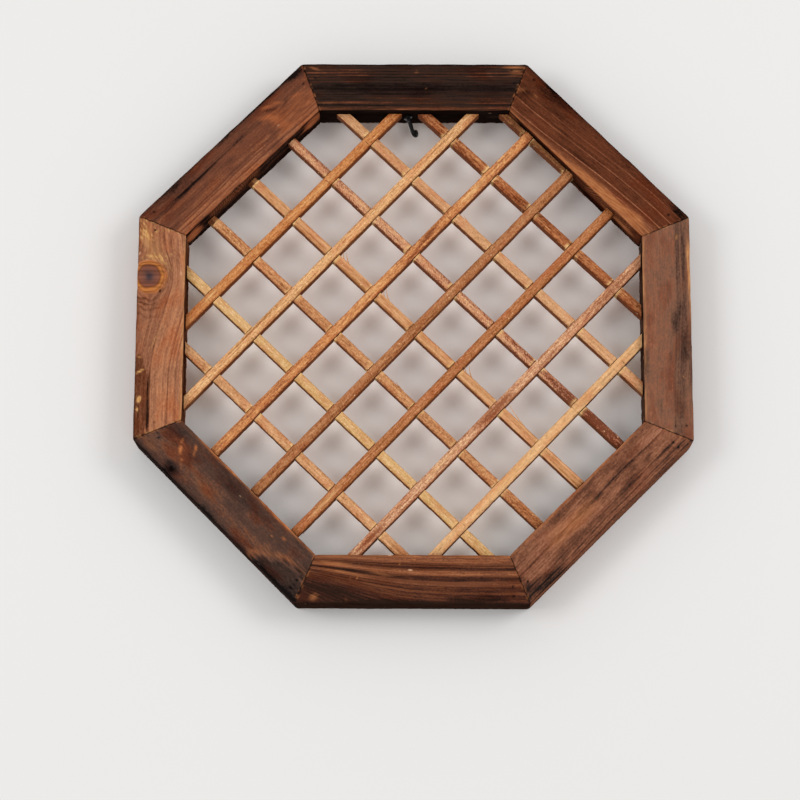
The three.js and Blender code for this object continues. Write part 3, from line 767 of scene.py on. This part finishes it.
lattice = {"pitch": innerReaches[1] / 4,  # mm between the slats: four spaces fit from the middle to a board
           # Where the slats lie, in pitches from the middle and in the order of their numbers
           "frontSteps": range(3, -4, -1), "backSteps": range(4, -4, -1),
           "lapSteps": range(-4, 5),      # and where a slat may be crossed
           "turn": 1.4,                   # degrees that the whole lattice is turned by
           "frontShift": -0.7,            # mm that the front slats lie off the middle
           "notch": 6.6, "lapPlane": -15.25, "lapClearance": 0.3,
           "seat": 0.3,                   # mm of air at a slat's ends
           "wallClear": 0.5, "wallReach": 0.9, "wallHalf": 0.06,  # the rings beside a notch's walls
           "cutReach": 10.0, "ringGap": 0.02,                     # how an end is cut to its board
           "trimClear": 2}                # the trimmed slat has no lap this near its end
slatCommon = {
    # Form, in mm: eased edges, points along and round it, and how its width and faces wander
    "ease": 0.45, "sharpAngle": 32, "step": 1.3, "sectionStep": 1.1,
    "widthVary": (0.08, 23), "faceVary": (0.12, 9, 2.5),
    "nick": (0.35, 3.1, 0.45, 0.5),  # depth, length, how rare, and reach from the edge
    "tear": (0.55, 0.8, 1.1, 0.9),   # beside a lap: depth, length, width and reach
    "patterns": {"waver": (40, 6, 6, 1), "lines": (30, 1.1, 0.95, 2), "fibre": (3.4, 1.0, 0.85, 3),
                 "grit": (1.1, 0.9, 0.85, 2), "cloud": (16, 6, 4, 2)},
    "shares": (1.0, 1.1, 0.6, 1.3),
    # The grain: its slope through the depth, how it wanders (amount, length), its place among the bands in
    # the slat's middle, and its tilt along the slat
    "grainSlope": 0.4, "grainWander": (0.5, 40), "grainMiddle": 10, "tilt": 0.0,
    "tint": "#d8a58a", "tintShare": 0.5,
    # The sawn sides are charred darker than the faces; the lower ones get painted shade on top, as they face
    # down
    "sideCharAndShadeColour": "#6b3c24", "lowerSideCharAndShade": 1.0, "upperSide": 0.5, "backFace": 0.3,
    "sideStart": (0.1, 0.6), "backSkin": 0.3,
    "bands": [(-8, 0.5), (38, 0.5)], "waver": 1.5, "ragged": 1.5, "charAndShadeDepth": 0.6,
    "speckLength": 1.6, "speckSpacing": 2.6, "speckShare": 0.1, "speckColour": "#ecc394",
    "roughness": (0.7, 0.6), "bump": 0.8, "shine": 0.003, "burns": [], "rubs": [],
    "glow": ["#d9a468", "#f0c88e"],
    "tornGlow": (1.4, 0.9, 1.3, 0.35, 1.2),  # pale torn fibres: amount, size, how common, and reach
    # The lower edge and the ends by the boards are darkened by char and painted shade, as the edge faces
    # down and the boards shade the ends
    "endCharAndShade": (0.35, 3), "edgeChar": (0.5, 0.4), "lowerEdgeCharAndShade": (0.8, 0.6),  # amount and reach
}
slatLooks = {
    "slat_front_1": {
        "seed": 31, "tones": ["#914e25", "#b36f3f", "#c68653", "#d89960", "#ecb57b"], "tilt": 0.012,
        "burns": [(0, 1.9, 70, 0.7, 0, 0.5)],
        "rubs": [(-70, 0.8, 9, 1.2, 0, 0.8), (25, -0.6, 18, 0.9, 1, 0.35)],
    },
    "slat_front_2": {
        "seed": 32, "tones": ["#a36e40", "#c08b5c", "#e0ad7a", "#f1c28d", "#fedaa8"], "tilt": -0.01,
        "burns": [(-72, 1.3, 46, 0.7, 0.6, 0.9), (90, 0.5, 30, 1.2, 0, 0.4)],
    },
    "slat_front_3": {
        "seed": 33, "tones": ["#864e31", "#b27148", "#cd8c59", "#e1a870", "#f2c388"],
        "burns": [(50, 0.6, 15, 2.1, 4, 1.3), (33, -1.4, 14, 1.0, 8, 0.6), (-80, 1.6, 50, 0.8, 0, 0.5)],
        "rubs": [(88, 0, 14, 2, 0, 0.5), (-4, 1, 18, 1.6, 2, 0.35)],
    },
    "slat_front_4": {
        "seed": 34, "tones": ["#7c492c", "#9e653e", "#b17850", "#c1895f", "#d6a379"], "speckShare": 0.16,
        "saw": (1.7, -0.5, 0.06), "burns": [(-30, -1.5, 90, 0.7, 0, 0.5), (120, -1, 20, 1.5, 0, 0.5)],
    },
    "slat_front_5": {
        "seed": 35, "tones": ["#784322", "#9b6037", "#b5754c", "#ca8c61", "#e0ad82"], "speckShare": 0.3,
        "rubs": [(-112, 0, 20, 2, 0, 0.4)],
    },
    "slat_front_6": {
        "seed": 36, "tones": ["#945b3d", "#af7857", "#ce9976", "#eac095", "#fde0b4"],
        "burns": [(-2, 0, 21, 2.8, 0, 1.2), (-108, 0, 18, 2.5, 0, 1.0), (98, 0, 36, 2.5, 0, 0.6)],
        "rubs": [(-50, 0.5, 22, 2, 0, 0.35)],
    },
    "slat_front_7": {
        "seed": 37, "tones": ["#b5875e", "#d2a475", "#e1af7b", "#ebba88", "#f6cd9f"],
        "burns": [(52, -0.8, 26, 0.6, 3, 0.5)], "rubs": [(-20, 0, 40, 2, 0, 0.3)],
    },
    "slat_back_1": {
        "seed": 41, "tones": ["#5c3820", "#7b4d31", "#94623e", "#a8744a", "#c08c5c"], "speckShare": 0.3,
    },
    "slat_back_2": {
        "seed": 42, "tones": ["#65331e", "#874d2e", "#a4653f", "#b4774e", "#cf9664"],
        "shares": (1.5, 1.6, 0.8, 1.3), "burns": [(10, 1.5, 40, 1.0, 0, 0.7), (-10, 0, 14, 1.2, 0, 0.7)],
    },
    "slat_back_3": {
        "seed": 43, "tones": ["#a5714a", "#bf8e64", "#d29d71", "#ddab81", "#ecc49b"],
        "burns": [(-100, 1.6, 24, 0.8, 0, 0.5)],
    },
    "slat_back_4": {
        "seed": 44, "tones": ["#75422d", "#b0765b", "#d09a70", "#deac83", "#f7d0a7"], "ease": 1.1,
        "speckShare": 0.3, "saw": (1.5, 0.7, 0.07), "widthVary": (0, 23),
        "burns": [(116, 0, 58, 4.4, 0, 1.5), (62, 1.2, 30, 1.4, 0, 0.8), (-112, 1.6, 34, 1.0, 0, 0.9),
                  (20, 2.0, 60, 0.7, 0, 0.5)],
    },
    "slat_back_5": {
        "seed": 45, "tones": ["#a26c40", "#be875a", "#d29c6e", "#e1ad81", "#f2c7a0"],
        "shares": (1.6, 0.78, 0.4, 0.6),
        "patterns": {"waver": (40, 6, 6, 1), "lines": (60, 1.1, 1.2, 2), "fibre": (4, 1.0, 0.85, 3),
                     "grit": (1.1, 0.9, 0.85, 2), "cloud": (16, 6, 4, 2)},
    },
    "slat_back_6": {
        "seed": 46, "tones": ["#8c5531", "#ab724b", "#c48a5d", "#d6a06f", "#f0c191"], "speckShare": 0.35,
        "burns": [(125, 0, 26, 3, 0, 0.7)],
    },
    "slat_back_7": {
        "seed": 47, "tones": ["#af824d", "#c89c64", "#d7ac75", "#e6be8f", "#f9dab0"], "speckShare": 0.2,
        "speckColour": "#f0cf8c",
    },
    "slat_back_8": {
        "seed": 48, "tones": ["#9e693f", "#bc875c", "#d09a6d", "#deac7f", "#f0c599"],
    },
}
# Slivers that stand off a back slat's upper edge: (along, length, lift, way), in mm. Their form: the radius
# that the root adds to the tip's, how it tapers, how the lift curves, how deep they start in the edge and
# below the face, and how far they come forward.
slivers = {"slat_back_5": [(-57, 6, 4.2, -1), (-61, 3, 2.4, -1), (-23, 6.5, 4.4, -1), (-27, 3, 2.6, -1),
                           (46, 6, 4.2, -1), (41, 3, 2.6, -1), (90, 16, 3.4, -1), (-2, 4, 1.6, 1)],
           "slat_back_6": [(22, 7, 1.0, -1)], "slat_back_3": [(-22, 5, 1.2, -1)]}
sliverForm = {"root": 0.4, "tip": 0.08, "taper": 0.7, "curve": 1.4, "inEdge": 0.3, "inFace": 0.7,
              "rise": 0.5, "sides": 5, "steps": 9}


def slatTurn(isFront):  # radians, from a slat that lies level
    lean = math.radians(lattice["turn"])
    return -(eighthTurn + lean) if isFront else eighthTurn - lean


def slatWays(isFront):  # the slats' direction and the way across them, in the panel's X and Z
    turn = slatTurn(isFront)
    return np.array([math.cos(turn), -math.sin(turn)]), np.array([math.sin(turn), math.cos(turn)])


def slatOffset(isFront, step):
    return lattice["pitch"] * step + (lattice["frontShift"] if isFront else 0)


def openingEnds(direction, normal, offset, across):
    # How far the slat's line at this place across it runs each way before it meets a board
    low, high = np.full(across.shape, -1e9), np.full(across.shape, 1e9)
    nearlyLevel = 0.08
    for index, reach in enumerate(innerReaches):
        turn = index * eighthTurn
        outward = np.array([math.sin(turn), math.cos(turn)])
        slope = direction @ outward
        left = reach - lattice["seat"] - (offset + across) * (normal @ outward)
        if slope > nearlyLevel:
            high = np.minimum(high, left / slope)
        elif slope < -nearlyLevel:
            low = np.maximum(low, left / slope)
    return low, high


def slatSection(look, halfWidth, thickness):  # points (across, depth) once round the section
    ease = look["ease"]
    arc = [(1 - math.cos(a), 1 - math.sin(a)) for a in np.linspace(0, math.pi / 2, 4)]  # an eased edge
    outline = []
    for u, v, backwards in ((-1, 0, False), (1, 0, True), (1, 1, False), (-1, 1, True)):
        for a, b in arc[::-1] if backwards else arc:
            inwards = 1 if v == 0 else -1
            outline.append((u * (halfWidth - ease * a), v * thickness + inwards * ease * b))
    points = []
    for k, (across, depth) in enumerate(outline):
        nextAcross, nextDepth = outline[(k + 1) % len(outline)]
        wide, deep = nextAcross - across, nextDepth - depth
        parts = max(1, round(math.hypot(wide, deep) / look["sectionStep"]))
        points += [(across + wide * p / parts, depth + deep * p / parts) for p in range(parts)]
    return np.array(points)


def slatRings(look, laps, lowEnd, highEnd):
    # The rings' places along a slat, with a pair at each notch wall, whether each lies in a notch, and the
    # places of the notch walls
    halfNotch, reach, half = lattice["notch"] / 2, lattice["wallReach"], lattice["wallHalf"]
    walls = [lap + side * halfNotch for lap in laps for side in (-1, 1)]
    places = [(x, None) for x in np.arange(lowEnd, highEnd, look["step"])]
    places += [(wall + beside, None) for wall in walls for beside in (-reach, reach)]
    places = [p for p in places if all(abs(p[0] - wall) > lattice["wallClear"] for wall in walls)]
    places.append((highEnd, None))
    for lap in laps:
        for side in (-1, 1):
            wall = lap + side * halfNotch
            places += [(wall + side * half, False), (wall - side * half, True)]
    places = sorted(p for p in places if lowEnd <= p[0] <= highEnd)
    inLap = [any(abs(x - lap) < halfNotch for lap in laps) if flag is None else flag for x, flag in places]
    return np.array([x for x, _ in places]), np.array(inLap), walls


def buildSlat(name, isFront, step):
    look = {**woodCommon, **slatCommon, **slatLooks[name]}
    trimmed = name == "slat_back_1"  # the short one, cut lengthwise by the upper right board
    seed, direction, normal = look["seed"], *slatWays(isFront)
    offset = slatOffset(isFront, step)
    corners = cadCorners(name)
    flat = corners[:, [0, 2]] - np.array([centre.x, centre.z])
    cadAlong, cadAcross = flat @ direction, flat @ normal - offset
    lowEnd, highEnd = cadAlong.min(), cadAlong.max()
    front, back = corners[:, 1].min(), corners[:, 1].max()
    deep = back - front
    halfWidth = -cadAcross.min() if trimmed else np.abs(cadAcross).max()
    laps = [slatOffset(not isFront, s) * (1 if isFront else -1) for s in lattice["lapSteps"]]
    laps = [lap for lap in laps if lowEnd < lap < highEnd - (lattice["trimClear"] if trimmed else 0)]
    ringPlaces, inLap, walls = slatRings(look, laps, lowEnd, highEnd)
    inLap = inLap[:, None]
    section = slatSection(look, halfWidth, deep)
    along = ringPlaces[:, None] + 0 * section[:, 0]
    across, depth = section[:, 0] + 0 * along, section[:, 1] + 0 * along

    # Hand-sawn: width and face wander a little inwards, and the edges are nicked
    vary, length = look["widthVary"]
    narrow = 1 - bumps((vary / halfWidth, length, 1), seed, along, 0 * across)
    nick, length, rare, reach = look["nick"]
    nicks = np.clip(softNoise(seed + 100, along / length, across) - rare, 0, 1) * nick
    across = across * narrow - np.sign(across) * nicks * fade(np.abs(np.abs(across) - halfWidth), reach)
    depth = depth + bumps(look["faceVary"], seed + 200, along, across) * np.where(depth < deep / 2, 1, -1)
    farOff = np.full(along.shape, 9.0)  # mm, for a slat that has no lap
    nearestWall = np.min([np.abs(along - wall) for wall in walls], 0) if walls else farOff
    tear, length, width, reach = look["tear"]
    rowShift = 9  # picks the rows of the noise that the tears use
    torn = np.clip(softNoise(seed + 300, along / length, across / width + rowShift), 0, 1)
    torn = torn * fade(nearestWall, reach)
    depth = depth + np.where(~inLap & (depth < deep / 2), torn * tear, 0)

    # Half laps: the front slats lose their back half at a crossing, and the back slats their front half
    plane, gap = lattice["lapPlane"], lattice["lapClearance"] / 2
    if isFront:
        depth = np.where(inLap, depth * ((plane - gap - front) / deep), depth)
    else:
        depth = np.where(inLap, deep - (deep - depth) * ((back - (plane + gap)) / deep), depth)

    # The ends are cut to the boards
    if trimmed:
        outward = np.array([math.sin(eighthTurn), math.cos(eighthTurn)])
        limit = innerReaches[1] - lattice["seat"]
        roof = (limit - along * (direction @ outward)) / (normal @ outward) - offset
        squeezed = -halfWidth + (across + halfWidth) * (roof + halfWidth) / (2 * halfWidth)
        across = np.minimum(squeezed, roof)
        low = openingEnds(direction, normal, offset, across)[0]
        cutAlong = np.maximum(along, low)
        cutAlong[0] = low[0]
    else:
        low, high = openingEnds(direction, normal, offset, across)
        lowMiddle, highMiddle = openingEnds(direction, normal, offset, np.zeros(1))
        nearLow = 1 - smoothStep(0, 1, (along - lowMiddle) / lattice["cutReach"])
        nearHigh = 1 - smoothStep(0, 1, (highMiddle - along) / lattice["cutReach"])
        cutAlong = along + nearLow * (low - lowMiddle) + nearHigh * (high - highMiddle)
        cutAlong[0], cutAlong[-1] = low[0], high[-1]
        gaps = lattice["ringGap"] * np.arange(len(cutAlong))[:, None]  # so that no ring passes another
        cutAlong = np.maximum(cutAlong, cutAlong[0] + gaps)
        cutAlong = np.minimum(cutAlong, cutAlong[-1] - gaps[::-1])

    charAndShade, glow = np.zeros(along.shape), np.zeros(along.shape)
    for mark in look["burns"]:
        charAndShade += spot(along, across, mark)
    for mark in look["rubs"]:
        glow += spot(along, across, mark)
    if not isFront:  # pale torn fibres beside the laps
        amount, length, width, common, reach = look["tornGlow"]
        pale = np.clip(softNoise(seed + 400, along / length, across / width) + common, 0, 1)
        glow += amount * pale * bell(nearestWall, reach)
    toBoard = np.minimum(cutAlong - cutAlong[0], cutAlong[-1] - cutAlong)
    # Char along the upper edge; along the lower edge and near the boards it is char with painted shade
    for part, distance in (("edgeChar", np.abs(across - halfWidth)),
                           ("lowerEdgeCharAndShade", np.abs(across + halfWidth)), ("endCharAndShade", toBoard)):
        amount, reach = look[part]
        charAndShade += amount * fade(distance, reach)
    # Colour of the sawn sides: char on all of them, and painted shade that makes the lower ones darker
    side = np.where(across < 0, look["lowerSideCharAndShade"], look["upperSide"]) * smoothStep(*look["sideStart"], depth)
    side = np.where(depth > deep - look["backSkin"], look["backFace"], side)
    wander, length = look["grainWander"]
    grain = across + look["grainSlope"] * depth + look["tilt"] * along
    grain = grain + wander * softNoise(seed + 500, along / length, 0 * along) + look["grainMiddle"]

    points = np.stack([cutAlong, depth + front, across + offset], -1)
    facts = {"grain": grain, "charAndShade": charAndShade, "glow": glow, "side": side}
    mesh = solidMesh(name, [points], facts, look["sharpAngle"])
    place = Matrix.Translation(centre * millimetre) @ Matrix.Rotation(slatTurn(isFront), 4, "Y")
    material = woodMaterial("sawn softwood, " + name.replace("_", " "), look)
    slot = "front_slat_wood" if isFront else "back_slat_wood"
    addPiece(name + "_wood", mesh, place, material, slot, name)
    if name in slivers:
        shells = sliverShells(slivers[name], offset + halfWidth, front)
        addPiece(name + "_slivers", solidMesh(name + "_slivers", shells), place, material, slot)


def sliverShells(places, edge, front):
    form, shells = sliverForm, []
    turn = ringTurn(form["sides"])
    for start, length, lift, way in places:
        rings = []
        for share in np.linspace(0, 1, form["steps"]):
            thick = form["root"] * (1 - share) ** form["taper"] + form["tip"]
            x = start + way * length * share
            y = front + form["inFace"] - form["rise"] * share
            z = edge - form["inEdge"] + lift * share ** form["curve"]
            rings.append(np.stack([x + 0 * turn, y + thick * np.sin(turn), z + thick * np.cos(turn)], -1))
        rings = np.array(rings)
        shells.append(rings if way > 0 else rings[:, ::-1])
    return shells


for order, step in enumerate(lattice["frontSteps"], 1):
    buildSlat(f"slat_front_{order}", True, step)
for order, step in enumerate(lattice["backSteps"], 1):
    buildSlat(f"slat_back_{order}", False, step)
print("lattice done")


# Stage: a pale wall behind the panel and a pale floor below it. Sizes are in mm; mottle is the scale of the
# paint's noise, and darkest is its lowest shade.

stageLook = {"wall": "#eae9e8", "wallGap": 1.0, "halfWidth": 1300, "floor": "#e6e4e0", "floorDrop": 900,
             "floorReach": 3900, "mottle": 3, "darkest": 0.98}


def stageMaterial(name, colour, oneSided):
    # Matt paint, very slightly mottled, which takes soft shadows and shows no gloss
    material, tree = newMaterial(name)
    own = addNode(tree, "TexCoord")["Object"]
    mottle = addNode(tree, "TexNoise", {"Vector": own, "Scale": stageLook["mottle"], "Detail": 2})["Fac"]
    shade = addNode(tree, "MapRange", [mottle, 0, 1, stageLook["darkest"], 1])[0]
    tint = addNode(tree, "Mix", {0: 1.0, 6: linear(colour), 7: shade}, data_type="RGBA",
                   blend_type="MULTIPLY")[2]
    surface = addNode(tree, "BsdfDiffuse", {"Color": tint})[0]
    if oneSided:  # seen from behind, the wall isn't there
        behind = addNode(tree, "NewGeometry")["Backfacing"]
        clear = addNode(tree, "BsdfTransparent")[0]
        surface = addNode(tree, "MixShader", [behind, surface, clear])[0]
    addNode(tree, "OutputMaterial", {"Surface": surface})
    return material


def addPlane(name, corners, material):
    mesh = bpy.data.meshes.new(name)
    mesh.from_pydata([tuple(c * millimetre for c in corner) for corner in corners], [], [(0, 1, 2, 3)])
    mesh.materials.append(material)
    plane = addObject(name, mesh)
    return plane


half, reach, wallY = stageLook["halfWidth"], stageLook["floorReach"], stageLook["wallGap"]
floorZ = centre.z - stageLook["floorDrop"]
wall = addPlane("wall", [(-half, wallY, floorZ), (half, wallY, floorZ), (half, wallY, half),
                         (-half, wallY, half)],
                stageMaterial("matt wall paint", stageLook["wall"], True))
wall.visible_shadow = wall.visible_diffuse = wall.visible_glossy = wall.visible_transmission = False
floor = addPlane("floor", [(-reach, -reach, floorZ), (reach, -reach, floorZ), (reach, reach, floorZ),
                           (-reach, reach, floorZ)],
                 stageMaterial("matt floor paint", stageLook["floor"], False))
floor.visible_diffuse = False


# Light: softboxes to the left and right in front of the panel and one behind it, in an even dome. Lamps are
# (name, watts, size in m, place from the panel's middle in m).
lighting = {"skyColour": "#fffefd", "skyStrength": 0.71,
            "lamps": [("left softbox", 10.5, 0.8, (-1.4, -1.7, 0.0)),
                      ("right softbox", 15.0, 1.0, (1.6, -1.8, 0.5)),
                      ("back fill", 14, 1.2, (-0.5, 1.6, 0.7))]}


def addLight():
    world = bpy.data.worlds.new("soft studio")
    bpy.context.scene.world = world
    world.use_nodes = True
    sky = world.node_tree.nodes["Background"]
    sky.inputs["Color"].default_value = linear(lighting["skyColour"])
    sky.inputs["Strength"].default_value = lighting["skyStrength"]
    for name, power, size, offset in lighting["lamps"]:
        lamp = bpy.data.lights.new(name, "AREA")
        lamp.energy, lamp.size, lamp.shape = power, size, "SQUARE"
        holder = addObject(name, lamp)
        holder.location = centre * millimetre + Vector(offset)
        holder.rotation_euler = (-Vector(offset)).to_track_quat("-Z", "Y").to_euler()


# The camera looks slightly up at the panel, as in the photograph: place in mm, angles in radians
cameraLook = {"place": (5.90, -1429.38, -506.59), "pan": 0.0098, "tilt": 0.2168, "roll": 0.0049,
              "lens": 108.23, "sensor": 36}


def addCamera():
    pan, tilt, roll = cameraLook["pan"], cameraLook["tilt"], cameraLook["roll"]
    level = Vector((math.cos(pan), math.sin(pan), 0))
    ahead = Vector((-math.sin(pan), math.cos(pan), 0))
    forward = ahead * math.cos(tilt) + Vector((0, 0, 1)) * math.sin(tilt)
    above = -ahead * math.sin(tilt) + Vector((0, 0, 1)) * math.cos(tilt)
    right = level * math.cos(roll) + above * math.sin(roll)
    up = -level * math.sin(roll) + above * math.cos(roll)
    camera = bpy.data.cameras.new("camera")
    camera.lens, camera.sensor_width = cameraLook["lens"], cameraLook["sensor"]
    holder = addObject("camera", camera)
    turnTo = Matrix((right, up, -forward)).transposed().to_4x4()
    holder.matrix_world = Matrix.Translation(Vector(cameraLook["place"]) * millimetre) @ turnTo
    bpy.context.scene.camera = holder


addLight()
bpy.context.scene.view_settings.view_transform = "Standard"
addCamera()
print("stage, light and camera done")
